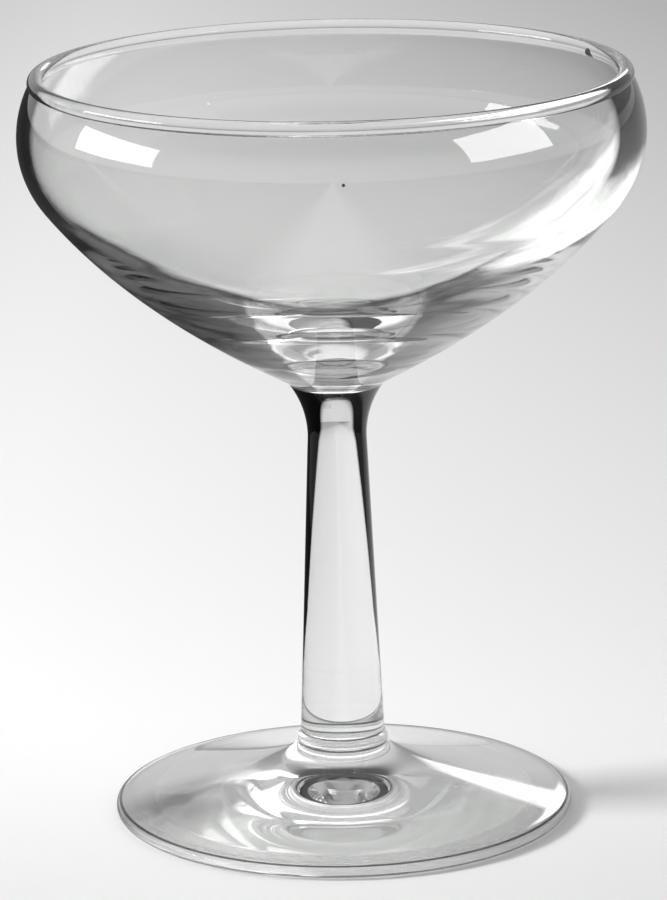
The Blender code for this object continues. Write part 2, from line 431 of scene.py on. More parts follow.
def turned(name, profile, steps):
    """A piece turned about Z: a point drawn out along the profile, then spun right round."""
    bpy.ops.object.select_all(action="DESELECT")
    bpy.ops.mesh.primitive_plane_add(size=MM, location=(0.0, 0.0, 0.0))
    piece = bpy.context.object
    piece.name = name
    piece.data.name = name
    bpy.ops.object.mode_set(mode="EDIT")
    bpy.ops.mesh.select_all(action="SELECT")
    bpy.ops.mesh.merge(type="CENTER")
    bpy.ops.transform.translate(value=(profile[0].x, 0.0, profile[0].y))
    for before, after in zip(profile, profile[1:]):
        step = after - before
        bpy.ops.mesh.extrude_vertices_move(TRANSFORM_OT_translate={"value": (step.x, 0.0, step.y)})
    bpy.ops.mesh.select_all(action="SELECT")
    bpy.ops.mesh.spin(steps=steps, angle=math.tau, center=(0.0, 0.0, 0.0), axis=(0.0, 0.0, 1.0))
    bpy.ops.mesh.select_all(action="SELECT")
    bpy.ops.mesh.remove_doubles(threshold=SHARED_POINT / 2)
    bpy.ops.mesh.normals_make_consistent(inside=False)
    bpy.ops.object.mode_set(mode="OBJECT")
    bpy.ops.object.shade_smooth_by_angle(angle=SMOOTH_ANGLE)
    return piece


def linear(hex_colour):
    """An sRGB hex colour as the linear colour that a shader takes."""
    channels = []
    for index in (0, 2, 4):
        value = int(hex_colour[index:index + 2], 16) / 255
        channels.append(value / 12.92 if value <= 0.04045 else ((value + 0.055) / 1.055) ** 2.4)
    return (*channels, 1.0)


def add_node(tree, kind, inputs=None, stops=(), **settings):
    """Adds a node. An input is a value or the socket that feeds it; stops are a ramp's places and greys."""
    node = tree.nodes.new(kind)
    for name, value in settings.items():
        setattr(node, name, value)
    for key, source in (inputs or {}).items():
        if isinstance(source, bpy.types.NodeSocket):
            tree.links.new(source, node.inputs[key])
        else:
            node.inputs[key].default_value = source
    for index, (position, grey) in enumerate(stops):
        if index >= len(node.color_ramp.elements):
            node.color_ramp.elements.new(position)
        element = node.color_ramp.elements[index]
        element.position = position
        element.color = (grey, grey, grey, 1.0)
    return node


def new_material(name):
    """A plain material; gives it with its node tree and its shader."""
    material = bpy.data.materials.new(name)
    material.use_nodes = True
    tree = material.node_tree
    return material, tree, tree.nodes["Principled BSDF"]


def new_glass(name):
    """A clear glass with its constant values set; gives the material, its node tree and its shader."""
    material, tree, shader = new_material(name)
    shader.inputs["Roughness"].default_value = 0.0
    shader.inputs["IOR"].default_value = GLASS_IOR
    shader.inputs["Transmission Weight"].default_value = 1.0
    return material, tree, shader


def from_axis(tree, place):
    """How far a place is from the axis that the glass is turned about."""
    flat = add_node(tree, "ShaderNodeVectorMath", {
        0: place, 1: LEVEL_PART}, operation="MULTIPLY").outputs[0]
    return add_node(tree, "ShaderNodeVectorMath", {0: flat}, operation="LENGTH").outputs["Value"]


def used_polish(tree, shader, place, wave_spread, wave_depth):
    """Fire polish in use: slow waves from the making, finger smudges, and fine scratches from washing."""
    stretched = add_node(tree, "ShaderNodeVectorMath", {
        0: place, 1: [1.0 / size for size in wave_spread]}, operation="MULTIPLY").outputs[0]
    waves = add_node(tree, "ShaderNodeTexNoise", {"Vector": stretched, "Scale": 1.0}).outputs["Fac"]
    bump = add_node(tree, "ShaderNodeBump", {"Height": waves, "Distance": wave_depth}).outputs["Normal"]
    tree.links.new(bump, shader.inputs["Normal"])

    touched = add_node(tree, "ShaderNodeTexNoise", {
        "Vector": place, "Scale": 1.0 / SMUDGE_SIZE, "Detail": SMUDGE_DETAIL}).outputs["Fac"]
    smudge = add_node(tree, "ShaderNodeMapRange", {
        "Value": touched, "From Min": SMUDGE_FROM, "From Max": SMUDGE_FULL,
        "To Max": SMUDGE_ROUGHNESS}, interpolation_type="SMOOTHSTEP").outputs["Result"]

    # Real scratches are too fine to show, so these are drawn coarser.
    combed = add_node(tree, "ShaderNodeVectorMath", {
        0: place, 1: (1.0 / SCRATCH_LENGTH, 1.0 / SCRATCH_APART, 1.0 / SCRATCH_APART)},
        operation="MULTIPLY").outputs[0]
    field = add_node(tree, "ShaderNodeTexNoise", {
        "Vector": combed, "Scale": 1.0, "Detail": 0.0}).outputs["Fac"]
    line = add_node(tree, "ShaderNodeMath", {
        0: field, 1: NOISE_MIDDLE, 2: SCRATCH_WIDTH}, operation="COMPARE").outputs[0]
    kept = add_node(tree, "ShaderNodeMath", {
        0: touched, 1: SCRATCH_SHARE}, operation="GREATER_THAN").outputs[0]
    scratch = add_node(tree, "ShaderNodeMath", {0: line, 1: kept}, operation="MULTIPLY").outputs[0]
    scratch = add_node(tree, "ShaderNodeMath", {
        0: scratch, 1: SCRATCH_ROUGHNESS}, operation="MULTIPLY").outputs[0]
    return add_node(tree, "ShaderNodeMath", {0: smudge, 1: scratch}, operation="MAXIMUM").outputs[0]


def blown_bowl_glass():
    """Blown soda-lime glass, fire-polished: clear, but painted dark where its heel and its sides turn away.
    """
    material, tree, shader = new_glass("blown_soda_lime_glass")
    surface = add_node(tree, "ShaderNodeTexCoord")
    place = surface.outputs["Object"]
    spot = add_node(tree, "ShaderNodeSeparateXYZ", {"Vector": place})
    facing = add_node(tree, "ShaderNodeLayerWeight", {"Blend": HALF_BLEND}).outputs["Facing"]

    # The heel is painted shade: a crisp dark line where the inner floor starts to mirror, paler towards the
    # outline.
    start = add_node(tree, "ShaderNodeMapRange", {
        "Value": spot.outputs["Z"], "From Min": HEEL_LOW, "From Max": HEEL_HIGH,
        "To Min": HEEL_START_LOW, "To Max": HEEL_START_HIGH}).outputs["Result"]
    start = add_node(tree, "ShaderNodeMath", {
        0: spot.outputs["X"], 1: HEEL_LEAN / BOWL_RADIUS, 2: start}, operation="MULTIPLY_ADD").outputs[0]
    past = add_node(tree, "ShaderNodeMath", {0: facing, 1: start}, operation="SUBTRACT").outputs[0]
    faded = add_node(tree, "ShaderNodeMath", {
        0: spot.outputs["X"], 1: HEEL_PALE_LEAN / BOWL_RADIUS, 2: 1.0},
        operation="MULTIPLY_ADD").outputs[0]
    faded = add_node(tree, "ShaderNodeMath", {0: past, 1: faded}, operation="MULTIPLY").outputs[0]
    drawn = add_node(tree, "ShaderNodeVectorMath", {
        0: place, 1: (1.0 / HEEL_STREAK_LENGTH, 1.0 / HEEL_STREAK_LENGTH, 1.0 / HEEL_STREAK_HEIGHT)},
        operation="MULTIPLY").outputs[0]
    streak = add_node(tree, "ShaderNodeTexNoise", {"Vector": drawn, "Scale": 1.0}).outputs["Fac"]
    streak = add_node(tree, "ShaderNodeMapRange", {
        "Value": streak, "From Min": NOISE_LOW, "From Max": NOISE_HIGH,
        "To Min": 1.0 - HEEL_STREAK, "To Max": 1.0 + HEEL_STREAK}).outputs["Result"]
    faded = add_node(tree, "ShaderNodeMath", {0: faded, 1: streak}, operation="MULTIPLY").outputs[0]
    heel = add_node(tree, "ShaderNodeValToRGB", {"Fac": faded}, HEEL_SHADE).outputs["Color"]

    # The middle of the heel, straight towards the eye, stays clear and shows the backdrop.
    flat = add_node(tree, "ShaderNodeVectorMath", {
        0: place, 1: LEVEL_PART}, operation="MULTIPLY").outputs[0]
    radial = add_node(tree, "ShaderNodeVectorMath", {0: flat}, operation="NORMALIZE").outputs[0]
    aside = add_node(tree, "ShaderNodeLayerWeight", {
        "Blend": HALF_BLEND, "Normal": radial}).outputs["Facing"]
    ripple = add_node(tree, "ShaderNodeTexNoise", {
        "Vector": place, "Scale": 1.0 / HEEL_RIPPLE_SIZE}).outputs["Fac"]
    aside = add_node(tree, "ShaderNodeMath", {
        0: ripple, 1: HEEL_RIPPLE, 2: aside}, operation="MULTIPLY_ADD").outputs[0]
    middle = add_node(tree, "ShaderNodeValToRGB", {"Fac": aside}, HEEL_MIDDLE).outputs["Color"]
    below = add_node(tree, "ShaderNodeMapRange", {
        "Value": past, "From Min": HEEL_LINE / 2, "From Max": HEEL_LINE}).outputs["Result"]
    middle = add_node(tree, "ShaderNodeMath", {0: middle, 1: below}, operation="MULTIPLY").outputs[0]
    heel = add_node(tree, "ShaderNodeMix", {
        "Factor": middle, COLOUR_A: heel, COLOUR_B: linear(CLEAR_GLASS)},
        data_type="RGBA").outputs[COLOUR_OUT]

    # The belly: a painted dark band at each side, a little wider on the right.
    leaning = add_node(tree, "ShaderNodeMath", {
        0: spot.outputs["X"], 1: BELLY_BAND_LEAN / BOWL_RADIUS, 2: facing},
        operation="MULTIPLY_ADD").outputs[0]
    belly = add_node(tree, "ShaderNodeMapRange", {
        "Value": leaning, "From Min": BELLY_BAND_START, "From Max": BELLY_BAND_START + BELLY_BAND_SOFTNESS,
        "To Min": 1.0, "To Max": BELLY_BAND_SHADE}, interpolation_type="SMOOTHSTEP").outputs["Result"]
    upper = add_node(tree, "ShaderNodeMapRange", {
        "Value": spot.outputs["Z"],
        "From Min": BELLY_BAND_LOW, "From Max": BELLY_BAND_HIGH}).outputs["Result"]
    shaded = add_node(tree, "ShaderNodeMix", {
        "Factor": upper, COLOUR_A: heel, COLOUR_B: belly}, data_type="RGBA").outputs[COLOUR_OUT]

    # A window low on the right clears the shading in feathered strokes.
    right = add_node(tree, "ShaderNodeMath", {
        0: streak, 1: CLEAR_STROKE, 2: spot.outputs["X"]}, operation="MULTIPLY_ADD").outputs[0]
    right = add_node(tree, "ShaderNodeMapRange", {
        "Value": right, "From Min": CLEAR_FROM, "From Max": CLEAR_FULL}).outputs["Result"]
    level = add_node(tree, "ShaderNodeMapRange", {
        "Value": spot.outputs["Z"], "From Min": CLEAR_LOW, "From Max": CLEAR_HIGH}).outputs["Result"]
    level = add_node(tree, "ShaderNodeValToRGB", {"Fac": level}, CLEAR_HEIGHTS).outputs["Color"]
    cleared = add_node(tree, "ShaderNodeMath", {0: right, 1: level}, operation="MULTIPLY").outputs[0]
    shaded = add_node(tree, "ShaderNodeMix", {
        "Factor": cleared, COLOUR_A: shaded, COLOUR_B: linear(WHITE)},
        data_type="RGBA").outputs[COLOUR_OUT]

    # Only light that comes in through the outer face is shaded.
    outward = add_node(tree, "ShaderNodeVectorMath", {
        0: flat, 1: surface.outputs["Normal"]}, operation="DOT_PRODUCT").outputs["Value"]
    inner = add_node(tree, "ShaderNodeMath", {0: outward, 1: 0.0}, operation="LESS_THAN").outputs[0]
    leaving = add_node(tree, "ShaderNodeNewGeometry").outputs["Backfacing"]
    clear = add_node(tree, "ShaderNodeMath", {0: inner, 1: leaving}, operation="MAXIMUM").outputs[0]
    painted_shade = add_node(tree, "ShaderNodeMix", {
        "Factor": clear, COLOUR_A: shaded, COLOUR_B: linear(CLEAR_GLASS)},
        data_type="RGBA").outputs[COLOUR_OUT]

    # Seeds: a bubble in the rim, drawn as a dark spot of painted shade, and a speck in the wall.
    for middle_point, radius in SEEDS:
        apart = add_node(tree, "ShaderNodeVectorMath", {
            0: place, 1: middle_point}, operation="DISTANCE").outputs["Value"]
        seed = add_node(tree, "ShaderNodeMath", {0: apart, 1: radius}, operation="LESS_THAN").outputs[0]
        painted_shade = add_node(tree, "ShaderNodeMix", {
            "Factor": seed, COLOUR_A: painted_shade, COLOUR_B: linear(SEED_DARK)},
            data_type="RGBA").outputs[COLOUR_OUT]
    tree.links.new(painted_shade, shader.inputs["Base Color"])

    # The polish, and a stretch of the rim that is rubbed dull in patches.
    polish = used_polish(tree, shader, place, WAVE_SPREAD, WAVE_DEPTH)
    worn = add_node(tree, "ShaderNodeVectorMath", {
        0: place, 1: RIM_WEAR_SIDE}, operation="DOT_PRODUCT").outputs["Value"]
    worn = add_node(tree, "ShaderNodeMapRange", {
        "Value": worn, "From Min": RIM_WEAR_FROM, "From Max": RIM_WEAR_FULL}).outputs["Result"]
    rim = add_node(tree, "ShaderNodeMath", {
        0: spot.outputs["Z"], 1: RIM_TOP - 2 * RIM_BEAD_RADIUS}, operation="GREATER_THAN").outputs[0]
    rubbed = add_node(tree, "ShaderNodeTexNoise", {
        "Vector": place, "Scale": 1.0 / RIM_WEAR_SIZE}).outputs["Fac"]
    rubbed = add_node(tree, "ShaderNodeMapRange", {
        "Value": rubbed, "From Min": NOISE_MIDDLE, "From Max": RIM_WEAR_PATCH,
        "To Max": RIM_WEAR_ROUGHNESS}).outputs["Result"]
    worn = add_node(tree, "ShaderNodeMath", {0: worn, 1: rim}, operation="MULTIPLY").outputs[0]
    worn = add_node(tree, "ShaderNodeMath", {0: worn, 1: rubbed}, operation="MULTIPLY").outputs[0]
    polish = add_node(tree, "ShaderNodeMath", {0: polish, 1: worn}, operation="MAXIMUM").outputs[0]
    tree.links.new(polish, shader.inputs["Roughness"])
    return material


def pressed_stem_glass():
    """Pressed solid glass: clear down the middle, with the painted dark stripes of a thick rod down its
    sides.
    """
    material, tree, shader = new_glass("pressed_soda_lime_stem")
    place = add_node(tree, "ShaderNodeTexCoord").outputs["Object"]
    spot = add_node(tree, "ShaderNodeSeparateXYZ", {"Vector": place})
    facing = add_node(tree, "ShaderNodeLayerWeight", {"Blend": HALF_BLEND}).outputs["Facing"]
    height = add_node(tree, "ShaderNodeMapRange", {
        "Value": spot.outputs["Z"], "From Min": STRIPE_LOW, "From Max": STRIPE_HIGH}).outputs["Result"]
    start = add_node(tree, "ShaderNodeValToRGB", {"Fac": height}, STRIPE_STARTS).outputs["Color"]
    past = add_node(tree, "ShaderNodeMath", {0: facing, 1: start}, operation="SUBTRACT").outputs[0]
    stripe = add_node(tree, "ShaderNodeMapRange", {
        "Value": past, "From Max": STRIPE_SOFTNESS}, interpolation_type="SMOOTHSTEP").outputs["Result"]

    # Seen through other glass, the stem is clear.
    passed = add_node(tree, "ShaderNodeLightPath").outputs["Transmission Depth"]
    first = add_node(tree, "ShaderNodeMath", {0: passed, 1: HALF_STEP}, operation="LESS_THAN").outputs[0]
    dark = add_node(tree, "ShaderNodeMath", {0: stripe, 1: first}, operation="MULTIPLY").outputs[0]
    painted_shade = add_node(tree, "ShaderNodeMix", {
        "Factor": dark, COLOUR_A: linear(CLEAR_GLASS), COLOUR_B: linear(BLACK)},
        data_type="RGBA").outputs[COLOUR_OUT]
    tree.links.new(painted_shade, shader.inputs["Base Color"])

    polish = used_polish(tree, shader, place, DRAW_LINE_SPREAD, DRAW_LINE_DEPTH)
    tree.links.new(polish, shader.inputs["Roughness"])
    return material


def pressed_foot_glass():
    """Pressed glass, clear but for a swirl and lines of painted shade, and dull where it slides about on
    tables.
    """
    material, tree, shader = new_glass("pressed_soda_lime_foot")
    place = add_node(tree, "ShaderNodeTexCoord").outputs["Object"]
    polish = used_polish(tree, shader, place, WAVE_SPREAD, WAVE_DEPTH)
    height = add_node(tree, "ShaderNodeSeparateXYZ", {"Vector": place}).outputs["Z"]

    # A swirl of painted shade on the left, which shows only where the glass is seen aslant.
    swirl = add_node(tree, "ShaderNodeTexNoise", {
        "Vector": place, "Scale": 1.0 / FOOT_SHADE_SIZE, "Distortion": FOOT_SHADE_SWIRL}).outputs["Fac"]
    swirl = add_node(tree, "ShaderNodeMapRange", {
        "Value": swirl, "From Min": FOOT_SHADE_FROM, "From Max": FOOT_SHADE_FULL}).outputs["Result"]
    apart = add_node(tree, "ShaderNodeVectorMath", {
        0: place, 1: FOOT_SHADE_MIDDLE}, operation="DISTANCE").outputs["Value"]
    near = add_node(tree, "ShaderNodeMapRange", {
        "Value": apart, "From Min": FOOT_SHADE_NEAR, "From Max": FOOT_SHADE_FAR,
        "To Min": FOOT_SHADE_MOST, "To Max": FOOT_SHADE_LEAST}, interpolation_type="SMOOTHSTEP").outputs["Result"]
    swirled_shade = add_node(tree, "ShaderNodeMath", {0: swirl, 1: near}, operation="MULTIPLY").outputs[0]
    facing = add_node(tree, "ShaderNodeLayerWeight", {"Blend": HALF_BLEND}).outputs["Facing"]
    aslant = add_node(tree, "ShaderNodeMapRange", {
        "Value": facing, "From Min": FOOT_SHADE_ASLANT_FROM, "From Max": FOOT_SHADE_ASLANT_FULL}).outputs["Result"]
    swirled_shade = add_node(tree, "ShaderNodeMath", {0: swirled_shade, 1: aslant}, operation="MULTIPLY").outputs[0]
    painted_shade = add_node(tree, "ShaderNodeMix", {
        "Factor": swirled_shade, COLOUR_A: linear(FOOT_CLEAR_GLASS), COLOUR_B: linear(LINE_DARK)},
        data_type="RGBA").outputs[COLOUR_OUT]

    # Painted shade: dark lines round the crease under the weld and along the edge, kept off the hollow
    # underside.
    neck_side, edge_side = FOOT_UNDERSIDE
    hollow = add_node(tree, "ShaderNodeMath", {
        0: from_axis(tree, place), 1: (neck_side + edge_side) / 2, 2: (edge_side - neck_side) / 2},
        operation="COMPARE").outputs[0]
    for level, half_width in FOOT_LINES:
        line = add_node(tree, "ShaderNodeMath", {
            0: height, 1: level, 2: half_width}, operation="COMPARE").outputs[0]
        line = add_node(tree, "ShaderNodeMath", {
            0: line, 1: hollow}, operation="SUBTRACT", use_clamp=True).outputs[0]
        painted_shade = add_node(tree, "ShaderNodeMix", {
            "Factor": line, COLOUR_A: painted_shade, COLOUR_B: linear(LINE_DARK)},
            data_type="RGBA").outputs[COLOUR_OUT]
    tree.links.new(painted_shade, shader.inputs["Base Color"])

    # The ring that it rests on is worn dull.
    worn = add_node(tree, "ShaderNodeMapRange", {
        "Value": height, "From Max": WORN_RING_HEIGHT,
        "To Min": WORN_RING_ROUGHNESS, "To Max": 0.0}).outputs["Result"]
    polish = add_node(tree, "ShaderNodeMath", {0: polish, 1: worn}, operation="MAXIMUM").outputs[0]
    tree.links.new(polish, shader.inputs["Roughness"])
    return material


def fused_seam(name, radius=0.0, haze=(), shade=()):
    """Glass fused to glass: all but clear, with the pale or dark ring that a weld leaves at its edge."""
    material, tree, shader = new_material(name)
    shader.inputs["Roughness"].default_value = WELD_ROUGHNESS
    if not haze:
        shader.inputs["Alpha"].default_value = 0.0
        return material
    place = add_node(tree, "ShaderNodeTexCoord").outputs["Object"]
    share = add_node(tree, "ShaderNodeMapRange", {
        "Value": from_axis(tree, place), "From Max": radius}).outputs["Result"]
    shown = add_node(tree, "ShaderNodeValToRGB", {"Fac": share}, haze).outputs["Color"]
    tree.links.new(shown, shader.inputs["Alpha"])
    grey = add_node(tree, "ShaderNodeValToRGB", {"Fac": share}, shade).outputs["Color"]
    tree.links.new(grey, shader.inputs["Base Color"])
    return material


def finish_piece(piece, node, glass, seams):
    """Gives a piece its glass and its seam faces theirs, and sets it on the frame."""
    piece.data.materials.append(glass)
    for seam_index, (level, seam_glass) in enumerate(seams):
        piece.data.materials.append(seam_glass)
        for face in piece.data.polygons:
            if abs(face.center.z - level) < SHARED_POINT and abs(face.normal.z) > SEAM_LEVEL:
                face.material_index = seam_index + 1
    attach(piece, "root")
    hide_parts(node)


def place_camera():
    """The camera at the photograph's viewing angle."""
    data = bpy.data.cameras.new("camera")
    data.sensor_fit = "VERTICAL"
    data.sensor_height = SENSOR_HEIGHT
    data.lens = SENSOR_HEIGHT * FOCAL_PIXELS / PHOTO_HEIGHT
    camera = bpy.data.objects.new("camera", data)
    bpy.context.scene.collection.objects.link(camera)
    turn = Matrix.Rotation(CAMERA_YAW, 3, "Z") @ Matrix.Rotation(math.pi / 2 - CAMERA_PITCH, 3, "X")
    turn = turn @ Matrix.Rotation(CAMERA_ROLL, 3, "Z")
    camera.rotation_euler = turn.to_euler()
    camera.location = (0.0, -CAMERA_BACK, CAMERA_HEIGHT)
    bpy.context.scene.camera = camera


def backdrop_share(tree, way):
    """How far a direction points at the pale backdrop straight behind the glass, from 0 to 1."""
    back = add_node(tree, "ShaderNodeSeparateXYZ", {"Vector": way}).outputs["Y"]
    return add_node(tree, "ShaderNodeMapRange", {
        "Value": back, "From Min": BACKDROP_EDGE, "From Max": BACKDROP_FULL}).outputs["Result"]


def mirrored_times(tree, least):
    """1 for a ray that the glass has mirrored at least so often, else 0."""
    ray = add_node(tree, "ShaderNodeLightPath")
    return add_node(tree, "ShaderNodeMath", {
        0: ray.outputs["Glossy Depth"], 1: least - HALF_STEP}, operation="GREATER_THAN").outputs[0]


def pale_floor():
    """A matt paper sweep, painted palest round the glass, of which the glass itself mirrors only a part."""
    bpy.ops.object.select_all(action="DESELECT")
    bpy.ops.mesh.primitive_plane_add(size=FLOOR_SIZE, location=(0.0, 0.0, -FLOOR_GAP))
    floor = bpy.context.object
    floor.name = "floor"
    material, tree, shader = new_material("matt_paper")
    shader.inputs["Roughness"].default_value = PAPER_ROUGHNESS
    shader.inputs["Specular IOR Level"].default_value = PAPER_SPECULAR
    place = add_node(tree, "ShaderNodeTexCoord").outputs["Object"]
    # Painted light: the paper dims to the right and behind.
    along = add_node(tree, "ShaderNodeVectorMath", {
        0: place, 1: FLOOR_LEAN}, operation="DOT_PRODUCT").outputs["Value"]
    fade = add_node(tree, "ShaderNodeMapRange", {
        "Value": along, "From Min": FLOOR_PALE_AT, "From Max": FLOOR_DIM_AT}).outputs["Result"]
    paper = add_node(tree, "ShaderNodeMix", {
        "Factor": fade, COLOUR_A: linear(FLOOR_PALE), COLOUR_B: linear(FLOOR_DIM)},
        data_type="RGBA").outputs[COLOUR_OUT]

    # The light falls off towards the camera and at the far left.
    where = add_node(tree, "ShaderNodeSeparateXYZ", {"Vector": place})
    for axis, (dim_end, full_end, least) in (("Y", FLOOR_FRONT), ("X", FLOOR_LEFT)):
        share = add_node(tree, "ShaderNodeMapRange", {
            "Value": where.outputs[axis], "From Min": dim_end, "From Max": full_end,
            "To Min": least}, interpolation_type="SMOOTHSTEP").outputs["Result"]
        paper = add_node(tree, "ShaderNodeMix", {
            "Factor": 1.0, COLOUR_A: paper, COLOUR_B: share},
            data_type="RGBA", blend_type="MULTIPLY").outputs[COLOUR_OUT]

    # Mirrored once, the sheet is a strip that widens to the right behind the glass.
    behind = add_node(tree, "ShaderNodeMath", {
        0: where.outputs["Y"], 1: 0.0}, operation="MAXIMUM").outputs[0]
    right_of = add_node(tree, "ShaderNodeMath", {
        0: behind, 1: -SHEET_LEAN, 2: where.outputs["X"]}, operation="MULTIPLY_ADD").outputs[0]
    left_of = add_node(tree, "ShaderNodeMath", {
        0: where.outputs["X"], 1: -1.0}, operation="MULTIPLY").outputs[0]
    aside = add_node(tree, "ShaderNodeMath", {0: left_of, 1: right_of}, operation="MAXIMUM").outputs[0]
    off_sheet = add_node(tree, "ShaderNodeMapRange", {
        "Value": aside, "From Min": SHEET_NEAR, "From Max": SHEET_FAR}).outputs["Result"]
    off_sheet = add_node(tree, "ShaderNodeMath", {
        0: off_sheet, 1: mirrored_times(tree, 1)}, operation="MULTIPLY").outputs[0]

    # Mirrored again, it is a pool round the foot, and the backdrop.
    away = add_node(tree, "ShaderNodeVectorMath", {0: place}, operation="LENGTH").outputs["Value"]
    off_pool = add_node(tree, "ShaderNodeMapRange", {
        "Value": away, "From Min": POOL_NEAR, "From Max": POOL_FAR}).outputs["Result"]
    from_heel = add_node(tree, "ShaderNodeVectorMath", {
        0: place, 1: (0.0, 0.0, BOWL_SEAM)}, operation="SUBTRACT").outputs[0]
    way = add_node(tree, "ShaderNodeVectorMath", {0: from_heel}, operation="NORMALIZE").outputs[0]
    off_backdrop = add_node(tree, "ShaderNodeMath", {
        0: 1.0, 1: backdrop_share(tree, way)}, operation="SUBTRACT").outputs[0]
    off_pool = add_node(tree, "ShaderNodeMath", {
        0: off_pool, 1: off_backdrop}, operation="MULTIPLY").outputs[0]
    off_pool = add_node(tree, "ShaderNodeMath", {
        0: off_pool, 1: mirrored_times(tree, 2)}, operation="MULTIPLY").outputs[0]

    # Off the sheet, the glass mirrors painted shade in place of the paper, darker on the left.
    unlit = add_node(tree, "ShaderNodeMath", {0: off_sheet, 1: off_pool}, operation="MAXIMUM").outputs[0]
    side = add_node(tree, "ShaderNodeMapRange", {
        "Value": where.outputs["X"], "From Min": -SHEET_FAR, "From Max": SHEET_FAR}).outputs["Result"]
    mirrored_shade = add_node(tree, "ShaderNodeMix", {
        "Factor": side, COLOUR_A: linear(MIRRORED_SHADE_LEFT), COLOUR_B: linear(MIRRORED_SHADE_RIGHT)},
        data_type="RGBA").outputs[COLOUR_OUT]
    shown = add_node(tree, "ShaderNodeMix", {
        "Factor": unlit, COLOUR_A: paper, COLOUR_B: mirrored_shade}, data_type="RGBA").outputs[COLOUR_OUT]
    tree.links.new(shown, shader.inputs["Base Color"])
    floor.data.materials.append(material)


def studio_world():
    """Even light from all round; the glass sees a pale backdrop in a room that is dark above."""
    world = bpy.data.worlds.new("studio")
    bpy.context.scene.world = world
    world.use_nodes = True
    tree = world.node_tree
    way = add_node(tree, "ShaderNodeTexCoord").outputs["Generated"]
    rise = add_node(tree, "ShaderNodeSeparateXYZ", {"Vector": way}).outputs["Z"]
    ray = add_node(tree, "ShaderNodeLightPath")

    once = add_node(tree, "ShaderNodeMapRange", {
        "Value": rise, "From Min": SKY_LOW_END, "From Max": SKY_HIGH_START,
        "To Min": SKY_LOW, "To Max": SKY_HIGH}, interpolation_type="SMOOTHSTEP").outputs["Result"]
    often = add_node(tree, "ShaderNodeMix", {
        "Factor": backdrop_share(tree, way), FLOAT_A: ROOM_DARK, FLOAT_B: BACKDROP_LIGHT}).outputs[0]
    viewed = add_node(tree, "ShaderNodeMix", {
        "Factor": mirrored_times(tree, 1), FLOAT_A: SKY_THROUGH, FLOAT_B: once}).outputs[0]
    viewed = add_node(tree, "ShaderNodeMix", {
        "Factor": mirrored_times(tree, 2), FLOAT_A: viewed, FLOAT_B: often}).outputs[0]

    # Light on its way to the floor, straight or through the glass.
    fill = add_node(tree, "ShaderNodeMix", {
        "Factor": ray.outputs["Is Transmission Ray"], FLOAT_A: FILL, FLOAT_B: FILL_THROUGH}).outputs[0]
    lighting = add_node(tree, "ShaderNodeMath", {
        0: ray.outputs["Diffuse Depth"], 1: HALF_STEP}, operation="GREATER_THAN").outputs[0]
    strength = add_node(tree, "ShaderNodeMix", {
        "Factor": lighting, FLOAT_A: viewed, FLOAT_B: fill}).outputs[0]
    strength = add_node(tree, "ShaderNodeMix", {
        "Factor": ray.outputs["Is Camera Ray"], FLOAT_A: strength, FLOAT_B: SKY_SEEN}).outputs[0]
    background = tree.nodes["Background"]
    background.inputs["Color"].default_value = linear(WHITE)
    tree.links.new(strength, background.inputs["Strength"])


def placed(item, bearing, lift, away, roll=0.0):
    """Puts a lamp, card or flag at a bearing, turned to the glass and leaning by its roll."""
    side = math.radians(bearing)
    up = math.radians(lift)
    way = Vector((math.sin(side) * math.cos(up), -math.cos(side) * math.cos(up), math.sin(up)))
    item.location = AIM + away * way
    lean = Quaternion((0.0, 0.0, 1.0), math.radians(roll))
    item.rotation_euler = (way.to_track_quat("Z", "Y") @ lean).to_euler()


def softbox(name, bearing, lift, away, width, height, light):
    """A soft lamp that lights the floor; what the glass mirrors is a card at a like bearing."""
    data = bpy.data.lights.new(name, "AREA")
    data.shape = "RECTANGLE"
    data.size = width
    data.size_y = height
    data.energy = light * math.pi * width * height
    lamp = bpy.data.objects.new(name, data)
    bpy.context.scene.collection.objects.link(lamp)
    placed(lamp, bearing, lift, away)
    lamp.visible_glossy = False
    lamp.visible_transmission = False


def hung_sheet(name, bearing, lift, away, width, height, roll=0.0):
    """A flat sheet that only the glass sees; gives it with its material's node tree."""
    bpy.ops.object.select_all(action="DESELECT")
    bpy.ops.mesh.primitive_plane_add(size=1.0)
    sheet = bpy.context.object
    sheet.name = name
    sheet.scale = (width, height, 1.0)
    placed(sheet, bearing, lift, away, roll)
    sheet.visible_camera = False
    sheet.visible_diffuse = False
    sheet.visible_shadow = False
    material = new_material(name)[0]
    sheet.data.materials.append(material)
    return sheet, material.node_tree


